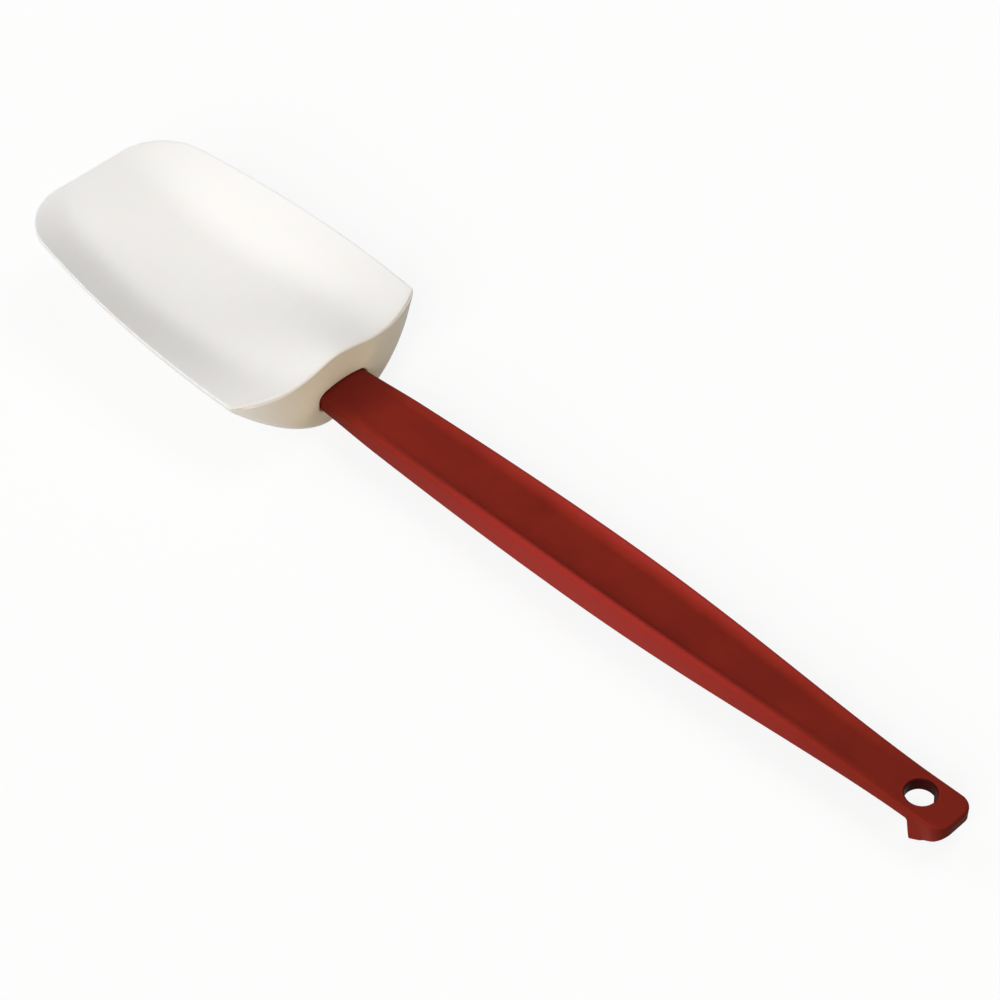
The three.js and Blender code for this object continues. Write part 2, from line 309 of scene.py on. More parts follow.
class Paint:
    """A material's or the world's node tree while it is drawn up.

    A Mix node's colour sockets go by number, because others share their names. MIDDLE is the mean of the
    noise.
    """

    MIX_FIRST = 6
    MIX_SECOND = 7
    MIX_COLOUR = 2
    MIDDLE = 0.5

    def __init__(self, owner: Union[bpy.types.Material, bpy.types.World]) -> None:
        """Empties the owner's node tree.

        Args:
            owner: The material or world that is drawn up.
        """
        owner.use_nodes = True
        self.tree = owner.node_tree
        self.tree.nodes.clear()

    def node(self, kind: str, settings: dict[str, Any], sockets: dict[Any, Any], out: Any = 0) -> Signal:
        """Adds one node.

        Args:
            kind: Blender's type name of the node.
            settings: Values of the node's own properties, which are set first.
            sockets: Values or signals for its inputs, by name or number.
            out: Name or number of the output that is returned.

        Returns:
            The chosen output as a signal.
        """
        made = self.tree.nodes.new(kind)
        for name, value in settings.items():
            setattr(made, name, value)
        for name, value in sockets.items():
            if isinstance(value, Signal):
                self.tree.links.new(value.socket, made.inputs[name])
            else:
                made.inputs[name].default_value = value
        return Signal(self, made.outputs[out] if len(made.outputs) else None)

    def place(self) -> Signal:
        """The point on the piece, in its own metres."""
        return self.node("ShaderNodeTexCoord", {}, {}, "Object")

    def grain(self, scale: float, detail: float = 2.0, rough: float = 0.5) -> Signal:
        """Noise from 0 to 1 with so many waves to the metre."""
        sockets = {"Vector": self.place(), "Scale": scale, "Detail": detail, "Roughness": rough}
        return self.node("ShaderNodeTexNoise", {}, sockets, "Fac")

    def attribute(self, mark: Mark) -> Signal:
        """A value that the mesh carries at its points."""
        return self.node("ShaderNodeAttribute", {"attribute_name": mark.value}, {}, "Fac")

    def spread(
        self, value: Signal, low: float, high: float, to_low: float = 0.0, to_high: float = 1.0
    ) -> Signal:
        """A value's range low to high stretched to another range, held at its ends."""
        ends = {"From Min": low, "From Max": high, "To Min": to_low, "To Max": to_high}
        return self.node("ShaderNodeMapRange", {}, {"Value": value, **ends})

    def colours(self, share: Signal, first: Any, second: Any) -> Signal:
        """A colour between two colours."""
        sockets = {"Factor": share, self.MIX_FIRST: first, self.MIX_SECOND: second}
        return self.node("ShaderNodeMix", {"data_type": "RGBA"}, sockets, self.MIX_COLOUR)

    def bump(self, skin: Signal, height: float) -> Signal:
        """The normal of a surface on which a skin of noise stands so high."""
        return self.node("ShaderNodeBump", {}, {"Strength": 1.0, "Distance": height, "Height": skin})

    def surface(self, shader: Signal) -> None:
        """Ends a material's tree in its output."""
        self.node("ShaderNodeOutputMaterial", {}, {"Surface": shader})


def rgba(red: float, green: float, blue: float) -> Colour:
    """An opaque colour in linear light."""
    return (red, green, blue, 1.0)


WHITE = rgba(1, 1, 1)


@dataclass(frozen=True)
class SiliconeFinish:
    """White silicone: matte, slightly translucent and white, with a tan painted shade on the back wall."""

    blade: Colour = rgba(0.89, 0.872, 0.85)
    # Tan root colour: the back wall's warm shade, painted in.
    root: Colour = rgba(0.83, 0.70, 0.495)
    roughness: tuple[float, float] = (0.46, 0.58)
    specular: float = 0.32
    scatter: float = 0.18
    scatter_depth: float = 2.2 * MM
    scatter_reach: tuple[float, float, float] = (1.0, 0.62, 0.42)
    mottle: float = 0.16
    cloud_scale: float = 55.0
    cloud_detail: float = 3.0
    cloud_range: tuple[float, float] = (0.3, 0.7)
    skin_scale: float = 2600.0
    skin_detail: float = 2.0
    skin_height: float = 0.012 * MM

    def material(self) -> bpy.types.Material:
        """Draws the finish up as a material.

        The colour runs from blade to root by the mesh's warm_shade attribute, a tan painted shade on the
        back wall, with a faint cloudiness.
        Roughness wanders with the same clouds, and a fine skin of noise makes the moulded matte surface.

        Returns:
            The material.
        """
        made = bpy.data.materials.new("white_silicone")
        paint = Paint(made)
        cloud = paint.grain(self.cloud_scale, self.cloud_detail)
        skin = paint.grain(self.skin_scale, self.skin_detail)
        # Painted warm shade on the back wall, with a faint cloudiness.
        body = paint.attribute(Mark.WARM_SHADE) + (cloud - Paint.MIDDLE) * self.mottle
        paint.surface(paint.node("ShaderNodeBsdfPrincipled", {}, {
            "Base Color": paint.colours(body, self.blade, self.root),
            "Roughness": paint.spread(cloud, *self.cloud_range, *self.roughness),
            "Normal": paint.bump(skin, self.skin_height),
            "Specular IOR Level": self.specular,
            "Subsurface Weight": self.scatter,
            "Subsurface Scale": self.scatter_depth,
            "Subsurface Radius": self.scatter_reach,
        }))
        return made


@dataclass(frozen=True)
class NylonFinish:
    """Red nylon: a satin moulded skin, a little smoother along the rails, whose crests and sides are
    lighter partly from handling and partly as painted highlight.
    """

    web: Colour = rgba(0.252, 0.0215, 0.0114)
    deep: Colour = rgba(0.204, 0.017, 0.009)
    # Lighter red of the rails' crests and sides: partly from handling, partly painted highlight.
    crest: Colour = rgba(0.395, 0.033, 0.025)
    # Near-black red that values below 0 darken towards: painted shade, full in the hanging hole.
    bore: Colour = rgba(0.04, 0.004, 0.003)
    roughness: tuple[float, float] = (0.42, 0.56)
    polish: float = 0.10
    specular: float = 0.03
    cloud_scale: float = 70.0
    cloud_detail: float = 4.0
    cloud_range: tuple[float, float] = (0.3, 0.7)
    skin_scale: float = 3400.0
    skin_detail: float = 3.0
    skin_range: tuple[float, float] = (0.25, 0.75)
    skin_wear: tuple[float, float] = (0.55, 1.0)
    skin_height: float = 0.02 * MM
    grain_rough: float = 0.6

    def material(self) -> bpy.types.Material:
        """Draws the finish up as a material.

        The colour wanders between web and deep with a slow noise. The mesh's wear_and_painted_light
        attribute lightens it to the crest at 1, partly from handling and partly as painted highlight, where
        it also lowers the roughness. Below 0 it darkens it towards the bore colour at -1: painted shade at
        the handle's root, on the end face and in the hanging hole, and a darkening towards the hanging end.
        A fine noise makes the sparked skin of the mould.

        Returns:
            The material.
        """
        made = bpy.data.materials.new("red_nylon")
        paint = Paint(made)
        slow = paint.grain(self.cloud_scale, self.cloud_detail, self.grain_rough)
        cloud = paint.spread(slow, *self.cloud_range)
        skin = paint.grain(self.skin_scale, self.skin_detail, self.grain_rough)
        marked = paint.attribute(Mark.WEAR_AND_PAINTED_LIGHT)
        wear_and_painted_light = paint.spread(marked, 0.0, 1.0)
        ground = paint.colours(cloud, self.deep, self.web)
        # Painted shade: values below 0 darken the red towards the bore colour.
        ground = paint.colours(paint.spread(marked, 0.0, -1.0), ground, self.bore)
        # Rail crests and sides: lighter partly from handling, partly as painted highlight.
        crest_wear_and_highlight = wear_and_painted_light * paint.spread(skin, *self.skin_range, *self.skin_wear)
        paint.surface(paint.node("ShaderNodeBsdfPrincipled", {}, {
            "Base Color": paint.colours(crest_wear_and_highlight, ground, self.crest),
            "Roughness": paint.spread(cloud, 0.0, 1.0, *self.roughness) - wear_and_painted_light * self.polish,
            "Normal": paint.bump(skin, self.skin_height),
            "Specular IOR Level": self.specular,
        }))
        return made


@dataclass(frozen=True)
class FloorFinish:
    """Pale floor: nearly white to the camera, with the object's shadow on it, and clear from below."""

    colour: Colour = rgba(0.52, 0.515, 0.505)
    white: float = 1.21
    lift: float = 0.7

    def material(self) -> bpy.types.Material:
        """Draws the finish up as a material.

        To the camera, the lift is the share of an even white in the matte floor. Other light meets the
        matte floor alone.

        Returns:
            The material.
        """
        made = bpy.data.materials.new("pale_floor")
        paint = Paint(made)
        seen = seen_directly(paint)
        matte = paint.node("ShaderNodeBsdfDiffuse", {}, {"Color": self.colour})
        glow = paint.node("ShaderNodeEmission", {}, {"Color": WHITE, "Strength": self.white})
        top = paint.node("ShaderNodeMixShader", {}, {0: seen * self.lift, 1: matte, 2: glow})
        under = paint.node("ShaderNodeNewGeometry", {}, {}, "Backfacing")
        clear = paint.node("ShaderNodeBsdfTransparent", {}, {})
        paint.surface(paint.node("ShaderNodeMixShader", {}, {0: under, 1: top, 2: clear}))
        return made


def towards(azimuth: float, elevation: float) -> Vector:
    """Direction from the object at an azimuth, from -Y towards +X, and an elevation, in degrees."""
    turn, rise = math.radians(azimuth), math.radians(elevation)
    return Vector((math.sin(turn) * math.cos(rise), -math.cos(turn) * math.cos(rise), math.sin(rise)))


def seen_directly(paint: Paint) -> Signal:
    """Tells the rays that make the picture from the rays that carry light.

    Args:
        paint: The node tree that asks.

    Returns:
        1 for rays from the camera and for its mirror and glass rays, and 0 for all others.
    """
    path = paint.node("ShaderNodeLightPath", {}, {}, "Is Camera Ray")
    outputs = path.socket.node.outputs
    mirror = Signal(paint, outputs["Is Glossy Ray"])
    glass = Signal(paint, outputs["Is Transmission Ray"])
    clamped_sum = {"operation": "ADD", "use_clamp": True}
    return paint.node("ShaderNodeMath", clamped_sum, {0: path + mirror, 1: glass})


@dataclass
class SpoonHead:
    """Silicone head: a dished blade with a thin rounded lip, a flat keel, and a back wall round the handle.

    Here u runs from 0 at the tip to 1 at the back wall, and s from -1 to 1 across the width.
    """

    finish: SiliconeFinish
    tang: "Handle"
    node: str = "spoon_head"
    tip_width: float = 56.4 * MM
    back_width: float = 72 * MM
    side_bulge: float = 3.49 * MM
    tip_corner: float = 15 * MM
    shoulder_sweep: float = 6.5 * MM
    sweep_power: float = 3.3
    rim_back: float = 21.9 * MM
    rim_thickness: float = 1.5 * MM
    bowl_floor: float = 14 * MM
    floor_share: float = 0.36
    wall_share: float = 0.74
    bowl_lean: float = 0.9
    saddle_dip: float = 1 * MM
    saddle_power: float = 3.0
    hump_height: float = 3.55 * MM
    hump_spread: float = 11.7 * MM
    hump_length: float = 56 * MM
    hump_flare: float = 3.0
    keel_width: float = 12 * MM
    keel_length: float = 30 * MM
    keel_power: float = 2.0
    hull_tip_power: float = 2.3
    hull_power: float = 1.5
    lip_radius: float = 0.75 * MM
    back_round: float = 1.0 * MM
    back_blend: float = 1.6 * MM
    wall_swell: float = 1.1 * MM
    swell_reach: float = 7 * MM
    wall_offset: float = 0.4 * MM
    mouth_round: float = 0.8 * MM
    # Painted warm shade: its reach onto the blade behind the back edge, its share there, and its share on
    # the wall's wings.
    warm_shade_reach: float = 1.5 * MM
    warm_shade_share: float = 0.35
    warm_shade_wing: float = 0.45
    wing_start: float = 9 * MM
    fit: float = 0.12 * MM
    strips: int = 120
    corner_rings: int = 30
    body_rings: int = 96
    round_rings: int = 8
    wall_rings: int = 26

    def __post_init__(self) -> None:
        """Takes the head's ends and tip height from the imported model, its wall set back a little."""
        low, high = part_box(self.node)
        self.tip_x = low.x
        self.back_x = high.x + self.wall_offset
        self.length = self.back_x - self.tip_x
        self.rim_tip = high.z

    def side(self, u: Number) -> Number:
        """Half width before the tip's corners are rounded: a straight taper with a parabolic bulge."""
        return between(self.tip_width, self.back_width, u) / 2 + self.side_bulge * 4 * u * (1 - u)

    def from_tip(self, u: Number) -> Number:
        """Distance of the side line's points from the tip edge."""
        return u * (self.length - self.shoulder_sweep)

    def half_width(self, u: Number) -> Number:
        """Half width of the plan outline: the side line less its rounded tip corner."""
        return self.side(u) - round_loss(self.tip_corner, self.from_tip(u))

    def rim(self, u: Number) -> Number:
        """Height of the rim, falling evenly from tip to back."""
        return between(self.rim_tip, self.rim_back, u)

    def wall_rise(self, across: Number) -> Number:
        """Rise of a section of the bowl: a level floor, a fillet sloped as a smooth step, straight walls.

        Args:
            across: Share of the way from the middle to the rim.

        Returns:
            Share of the way up from the floor to the rim.
        """
        fillet = self.wall_share - self.floor_share
        turn = np.clip((across - self.floor_share) / fillet, 0.0, 1.0)
        rise = fillet * (turn**3 - turn**4 / 2) + np.maximum(across - self.wall_share, 0.0)
        return rise / (fillet / 2 + 1.0 - self.wall_share)

    def bowl(self, u: Number, s: Number) -> Number:
        """Height of the bowl.

        Its middle line hangs from the rim as a sine of u to a power. Across, it rises to the rim by the
        wall's rise. Near the back wall a bell curve, wider away from the wall, swells over the handle's
        root, less a saddle.

        Args:
            u: Share of the way from tip to back.
            s: Share of the way from the middle to the rim.

        Returns:
            The height above the table.
        """
        rim, across = self.rim(u), np.abs(s)
        floor = between(rim, self.bowl_floor, np.sin(math.pi * np.minimum(u, 1.0) ** self.bowl_lean))
        fade = eased(u, 1 - self.hump_length / self.length, 1.0)
        spread = self.hump_spread * (1 + self.hump_flare * (1 - u))
        hump = self.hump_height * np.exp(-((s * self.half_width(u) / spread) ** 2))
        saddle = self.saddle_dip * (1 - across**self.saddle_power)
        return between(floor, rim, self.wall_rise(across)) + fade * (hump - saddle)

    def hull(self, u: Number, s: Number) -> Number:
        """Height of the underside.

        The keel is level and then rises to the tip as a power of the distance. Across, the underside
        rises from the keel's edge to just below the rim as a power, whose exponent runs evenly from tip
        to back.

        Args:
            u: Share of the way from tip to back.
            s: Share of the way from the middle to the rim.

        Returns:
            The height above the table.
        """
        rising = self.length - self.keel_length
        forward = np.maximum(self.length * (1 - u) - self.keel_length, 0.0) / rising
        keel = (self.rim_tip - self.rim_thickness) * forward**self.keel_power
        wide, flat = self.half_width(u), self.keel_width / 2
        out = np.maximum(np.abs(s) * wide - flat, 0.0) / (wide - flat)
        power = between(self.hull_tip_power, self.hull_power, u)
        return between(keel, self.rim(u) - self.rim_thickness, out**power)

    def lip(self, u: Number, s: Number) -> Number:
        """Thinning of the blade by its rounded lip: a cubic round of the inset from the plan outline.

        Args:
            u: Share of the way from tip to back.
            s: Share of the way from the middle to the rim.

        Returns:
            Share of the blade's thickness that is left, 0 on the outline.
        """
        from_side = self.side(u) - np.abs(s) * self.half_width(u)
        inset = corner_inset(self.tip_corner, self.from_tip(u), from_side)
        return np.cbrt(1 - (1 - np.clip(inset / self.lip_radius, 0.0, 1.0)) ** 3)

    def wall_x(self, y: Number) -> Number:
        """X of the back wall, whose corners sweep forward as a power of the distance from the middle."""
        return self.back_x - self.shoulder_sweep * np.abs(2 * y / self.back_width) ** self.sweep_power

    def blade_rings(self) -> np.ndarray:
        """Rings from the tip to the back wall.

        Each ring is a section at one u: the hull from -s to s and then the bowl from s back to -s, drawn
        together at the lip. In the last stretch the ring shrinks along a quarter circle, which rounds
        the back edges, and less where the blade is thinner than the blend.

        Returns:
            The rings' points.
        """
        corner = turn_steps(self.tip_corner, self.corner_rings) / (self.length - self.shoulder_sweep)
        end_turn = quarter_turn(self.round_rings)
        last = 1 - self.back_round * (1 - np.sin(end_turn)) / self.length
        body = np.linspace(corner[-1], last[0], self.body_rings + 1)[1:-1]
        u = np.concatenate([corner, body, last])[:, None]
        shrink = np.concatenate([0 * corner, 0 * body, self.back_round * (1 - np.cos(end_turn))])[:, None]
        s = np.sin(np.linspace(-math.pi / 2, math.pi / 2, self.strips + 1))[None, :]
        top, bottom = self.bowl(u, s), self.hull(u, s)
        middle = (top + bottom) / 2
        half = (top - bottom) / 2 * self.lip(u, s)
        half = half - shrink * np.minimum(1.0, half / self.back_blend)
        x = self.tip_x + u * (self.length - self.shoulder_sweep * np.abs(s) ** self.sweep_power)
        y = s * (self.half_width(u) - shrink)
        low = np.stack([x, y, middle - half], axis=-1)
        high = np.stack([x, y, middle + half], axis=-1)[:, ::-1]
        return np.concatenate([low, high], axis=1)

    def wall_and_socket(self, edge: np.ndarray) -> np.ndarray:
        """Rings that go on from the blade: across the back wall, round the mouth and into the socket.

        Every ring keeps the directions of the blade's last ring about the handle's axis. On the wall a
        ring lies part of the way from that ring to the mouth, and a bell curve of the distance from the
        mouth, less its value at the wall's edge, swells the wall. In the socket a ring is the tang's
        section, grown by the fit.

        Args:
            edge: The blade's last ring.

        Returns:
            The rings' points.
        """
        axis = self.tang.axis_height
        angle = np.arctan2(edge[:, 2] - axis, edge[:, 1])[None, :]
        outer = np.hypot(edge[:, 1], edge[:, 2] - axis)[None, :]
        turn = quarter_turn(self.round_rings)
        station, *sizes = self.tang.socket_sections()
        mouth_grow = self.fit + self.mouth_round * (1 - np.sin(turn))
        grow = np.concatenate([mouth_grow, np.full(len(station), self.fit)])[:, None]
        depth = np.concatenate([self.mouth_round * (1 - np.cos(turn)), -station])[:, None]
        wide, tall, radius, crown = (
            np.concatenate([np.full(len(turn), size[0]), size])[:, None] for size in sizes
        )
        reach = crowned_reach(angle, wide + grow, tall + grow, radius + grow, crown)
        mouth = reach[:1]
        share = eased(np.linspace(0.0, 1.0, self.wall_rings + 2)[1:-1, None], 0.0, 1.0)
        reach = np.concatenate([between(outer, mouth, share), reach])
        depth = np.concatenate([0 * share, depth])
        swell = np.exp(-((np.maximum(reach - mouth, 0.0) / self.swell_reach) ** 2))
        swell = self.wall_swell * (swell - np.exp(-(((outer - mouth) / self.swell_reach) ** 2)))
        swell = np.where(depth > self.mouth_round, 0.0, swell)
        y = reach * np.cos(angle)
        return np.stack([self.wall_x(y) + swell - depth, y, axis + reach * np.sin(angle)], axis=-1)

    def build(self) -> bpy.types.Object:
        """Builds the head as one closed skin, from the tip over the blade and back wall into the socket.

        Returns:
            The finished piece.
        """
        blade = self.blade_rings()
        inner = self.wall_and_socket(blade[-1])
        rings = np.concatenate([blade, inner])
        # Painted warm shade: full on the back wall, less on its wings, and fading onto the blade just in
        # front of it.
        behind = np.exp((blade[..., 0] - self.wall_x(blade[..., 1])) / self.warm_shade_reach)
        wing = eased(np.abs(inner[..., 1]), self.wing_start, self.back_width / 2)
        warm_shade = np.concatenate([behind * self.warm_shade_share, between(1.0, self.warm_shade_wing, wing)])
        faces = ring_faces(len(rings), rings.shape[1], first_cap=False, last_cap=True)
        piece = mesh_object("silicone_head", rings.reshape(-1, 3), faces, {Mark.WARM_SHADE: warm_shade})
        piece.data.materials.append(self.finish.material())
        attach(piece, BODY)
        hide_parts(self.node)
        return piece


@dataclass
class Handle:
    """Nylon handle: a flat tang with round windows, a neck, a railed grip, a hanging hole and a foot."""

    finish: NylonFinish
    node: str = "handle"
    back_wall: float = -59.5 * MM
    axis_height: float = 10 * MM
    tang_width_root: float = 14 * MM
    tang_width_end: float = 11 * MM
    tang_thickness: float = 4 * MM
    tang_corner: float = 4 * MM
    neck_inset: float = 4 * MM
    neck_shoulder: float = 1.5 * MM
    window_count: int = 3
    window_diameter: float = 6 * MM
    window_pitch: float = 15 * MM
    window_first: float = 14 * MM
    neck_width: float = 18.2 * MM
    neck_thickness: float = 5.8 * MM
    grip_width: float = 21.4 * MM
    grip_station: float = 94 * MM
    end_thickness: float = 3.8 * MM
    end_corner: float = 4.5 * MM
    edge_round: float = 0.9 * MM
    neck_round: float = 2.0 * MM
    neck_crown: float = 1.1 * MM
    crown_reach: float = 40 * MM
    neck_blend: float = 25 * MM
    crest_round: float = 0.35 * MM
    taper_power: float = 1.2
    rail_height: float = 2.4 * MM
    rail_flank: float = 3.2 * MM
    rail_start: float = 2 * MM
    rail_setback: float = 17 * MM
    rail_power: float = 1.2
    flank_share: float = 0.9
    hole_diameter: float = 8.5 * MM
    hole_wall: float = 2.8 * MM
    hole_setback: float = 12.5 * MM
    hole_round: float = 0.55 * MM
    foot_root: float = 11.1 * MM
    foot_ramp: float = 0.6 * MM
    foot_sole: float = 2.6 * MM
    foot_draft: float = 0.8 * MM
    foot_rake: float = 0.55
    foot_draw: float = 3 * MM
    sole_round: float = 0.4 * MM
    # Painted shade: the web is darker where it meets the head's back wall, fading out over the reach.
    root_painted_shade: float = 0.62
    root_shade_reach: float = 24 * MM
    end_dull: float = 0.27
    fade_power: float = 0.6
    # Painted shade on the hanging end's face.
    end_face_painted_shade: float = 0.75
    edge_steps: int = 8
    flank_steps: int = 14
    floor_steps: int = 8
    tang_corner_rings: int = 10
    tang_rings: int = 19
    neck_rings: int = 3
    grip_rings: int = 230
    ramp_rings: int = 24
    sole_rings: int = 12
    end_rings: int = 26
    hole_rings: int = 8
    hole_sides: int = 72

    def __post_init__(self) -> None:
        """Takes the handle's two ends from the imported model, and works out what follows from them."""
        low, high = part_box(self.node)
        self.tang_length = self.back_wall - low.x
        self.tang_root = -(self.neck_inset + self.neck_shoulder)
        self.length = high.x - self.back_wall
        self.end_width = self.hole_diameter + 2 * self.hole_wall
        self.hole_station = self.length - self.hole_setback
        self.foot_front = self.length - self.foot_root

    def tang_half_width(self, station: np.ndarray) -> np.ndarray:
        """Half width of the tang: a straight taper less the rounded corners of its end.

        Args:
            station: Stations on the tang.

        Returns:
            The half widths there.
        """
        along = (self.tang_root - station) / (self.tang_length + self.tang_root)
        taper = between(self.tang_width_root, self.tang_width_end, along) / 2
        return taper - round_loss(self.tang_corner, station + self.tang_length)

    def root_sections(self) -> tuple[np.ndarray, ...]:
        """Sections of the tang and neck, from the tang's end to the back wall.

        Returns:
            Stations, half widths, half thicknesses, edge radii and crowns.
        """
        round_end = turn_steps(self.tang_corner, self.tang_corner_rings) - self.tang_length
        straight = np.linspace(round_end[-1], self.tang_root, self.tang_rings + 1)[1:]
        tang = np.concatenate([round_end, straight])
        neck = np.linspace(-self.neck_inset, 0.0, self.neck_rings)
        wide = np.concatenate([self.tang_half_width(tang), np.full(len(neck), self.neck_width / 2)])
        pairs = [
            (self.tang_thickness / 2, self.neck_thickness / 2),
            (self.edge_round, self.neck_round),
            (0.0, self.neck_crown),
        ]
        tall, radius, crown = (np.repeat(pair, (len(tang), len(neck))) for pair in pairs)
        return np.concatenate([tang, neck]), wide, tall, radius, crown

    def socket_sections(self) -> tuple[np.ndarray, ...]:
        """The same sections from just inside the back wall to the tang's end, for the head's socket."""
        return tuple(size[::-1][1:] for size in self.root_sections())

    def side(self, station: np.ndarray) -> np.ndarray:
        """Half width of the grip before its end corners: a parabola to the widest place, then a cosine.

        Args:
            station: Stations on the grip.

        Returns:
            The half widths there.
        """
        back = 1 - np.clip(station, 0.0, self.grip_station) / self.grip_station
        swelling = between(self.grip_width, self.neck_width, back * back) / 2
        span = self.hole_station - self.grip_station
        along = np.clip((station - self.grip_station) / span, 0.0, 1.0)
        fall = (1 + np.cos(math.pi * along**self.taper_power)) / 2
        tapering = between(self.end_width, self.grip_width, fall) / 2
        return np.where(station < self.grip_station, swelling, tapering)

    def web(self, station: Number) -> Number:
        """Half thickness of the web, which thins evenly to the hanging end."""
        return between(self.neck_thickness, self.end_thickness, station / self.length) / 2

    def rail(self, station: np.ndarray) -> np.ndarray:
        """Height of the rails above the web: a powered sine between their two ends, and 0 outside.

        Args:
            station: Stations on the handle.

        Returns:
            The heights there.
        """
        span = self.length - self.rail_setback - self.rail_start
        along = np.clip((station - self.rail_start) / span, 0.0, 1.0)
        return self.rail_height * np.sin(math.pi * along) ** self.rail_power

    def foot(self, station: np.ndarray) -> np.ndarray:
        """Drop of the foot: an eased steep front, a level sole, and a back that rises to the end.

        Args:
            station: Stations on the handle.

        Returns:
            Share of the foot's full depth, 0 before its front.
        """
        sole_end = self.foot_front + self.foot_ramp + self.foot_sole
        past = station - sole_end
        fall = (past + np.hypot(past, self.sole_round)) / 2 / (self.length - sole_end)
        drop = eased(station, self.foot_front, self.foot_front + self.foot_ramp)
        return drop * np.clip(1 - fall, 0.0, 1.0)

    def grip_stations(self) -> np.ndarray:
        """Stations of the grip's rings: even along it, and crowded at the foot's front and the end's round.

        Returns:
            The stations, from just behind the back wall to the hanging end.
        """
        end = self.length - turn_steps(self.end_corner, self.end_rings)[::-1]
        ramp_start, ramp_end = self.foot_front - self.foot_ramp, self.foot_front + 2 * self.foot_ramp
        even = np.linspace(0.0, ramp_start, self.grip_rings)[1:]
        ramp = np.linspace(ramp_start, ramp_end, self.ramp_rings + 1)[1:]
        sole = np.linspace(ramp_end, end[0], self.sole_rings + 2)[1:-1]
        return np.concatenate([even, ramp, sole, end])

    def sections(self) -> tuple[np.ndarray, ...]:
        """Sections of the whole handle, from the tang's end to the hanging end.

        Along the grip, the edge radius eases from the neck's to the grip's and grows with the rail, and
        the neck's crown fades out.

        Returns:
            Columns of stations, half widths, half widths before the end corners, half thicknesses of the
            web, edge radii and crowns.
        """
        station, wide, tall, radius, crown = self.root_sections()
        grip = self.grip_stations()
        hip = self.side(grip)
        outline = hip - round_loss(self.end_corner, self.length - grip)
        soft = between(self.neck_round, self.edge_round, eased(grip, 0.0, self.neck_blend))
        soft = soft + self.crest_round * self.rail(grip) / self.rail_height
        fading = self.neck_crown * (1 - eased(grip, 0.0, self.crown_reach))
        pairs = [
            (station, grip),
            (wide, outline),
            (wide, hip),
            (tall, self.web(grip)),
            (radius, soft),
            (crown, fading),
        ]
        return tuple(np.concatenate(pair)[:, None] for pair in pairs)

    def wear_and_painted_light(self, station: np.ndarray, flank: np.ndarray, inside: np.ndarray) -> np.ndarray:
        """How each point is lightened or darkened, by handling and by painted light.

        The value is 1 on a rail's crest and falls with its flank to 0 on the web, a lightening partly from
        handling and partly painted highlight. It is less where the web meets the head and on the end face,
        which is painted shade, and towards the hanging end.

        Args:
            station: Stations of the rings, as a column.
            flank: Share of the rail's height at each point.
            inside: Share of the way in over the rounded edge at each point.

        Returns:
            How each point is lightened or darkened.
        """
        # Rail crests and sides: partly handling, partly painted highlight.
        crest_wear_and_highlight = flank * np.clip(self.rail(station) / self.rail_height, 0.0, 1.0)
        # Painted shade where the web meets the head's back wall.
        root = 1 - eased(station, 0.0, self.root_shade_reach)
        fade = np.clip(station / self.length, 0.0, 1.0) ** self.fade_power * inside * (1 - crest_wear_and_highlight)
        # Painted shade on the hanging end's face.
        end_face = np.clip(1 - (self.length - station) / self.end_corner, 0.0, 1.0) * (1 - inside)
        return crest_wear_and_highlight - self.root_painted_shade * root - self.end_dull * fade - self.end_face_painted_shade * end_face

    def rings(self) -> tuple[np.ndarray, np.ndarray]:
        """Rings from the tang's end to the hanging end.

        Across half a face, the height is the web's, plus the rail's times a flank that falls as a half
        cosine, plus the neck's crown, a parabola, less the loss of the rounded edge. The lower face
        mirrors the upper one, and the foot lowers it to the table and draws its sides in.

        Returns:
            The rings' points, and how each point is lightened or darkened by handling and painted light.
        """
        station, wide, hip, web, radius, crown = self.sections()
        radius = np.minimum(np.minimum(radius, web), wide * self.flank_share)
        reach = np.minimum(self.rail_flank, (wide - radius) * self.flank_share)
        edge = radius * turn_steps(1.0, self.edge_steps)[None, :]
        share = np.linspace(0.0, 1.0, self.flank_steps + 1)[None, 1:]
        level = np.linspace(0.0, 1.0, self.floor_steps + 1)[None, 1:]
        inset = np.concatenate([edge, radius + reach * share, between(radius + reach, wide, level)], axis=1)
        flank = (1 + np.cos(math.pi * np.clip((inset - radius) / reach, 0.0, 1.0))) / 2
        y = wide - inset
        x = station + 0 * y
        inward = corner_inset(self.end_corner, self.length - station, hip - y)
        face = web + self.rail(station) * flank + crown * (1 - (y / wide) ** 2)
        half_top = np.stack([x, y, self.axis_height + face - round_loss(radius, inward)], axis=-1)

        # The lower half face, which the foot draws down and in.
        foot = self.foot(station)
        rake = self.foot_draft + self.foot_rake * (station - self.foot_front)
        drawn = 1 - foot * np.clip(rake, self.foot_draft, self.foot_draw) / hip
        sharper = eased(station, self.foot_front - self.foot_ramp, self.foot_front)
        low_face = face - round_loss(between(radius, self.sole_round, sharper), inward)
        low_z = self.axis_height - low_face - foot * (self.axis_height - web)
        half_low = np.stack([x, y * drawn, low_z], axis=-1)

        # Both half faces, mirrored and joined into whole rings.
        flip = np.array([1.0, -1.0, 1.0])
        top = np.concatenate([half_top, (half_top * flip)[:, -2::-1]], axis=1)
        low = np.concatenate([half_low * flip, half_low[:, -2::-1]], axis=1)
        points = np.concatenate([low, top], axis=1) + np.array([self.back_wall, 0.0, 0.0])
        half_wear_and_light = self.wear_and_painted_light(station, flank, np.clip(inward / radius, 0.0, 1.0))
        face_wear_and_light = np.concatenate([half_wear_and_light, half_wear_and_light[:, -2::-1]], axis=1)
        return points, np.concatenate([face_wear_and_light, face_wear_and_light], axis=1)

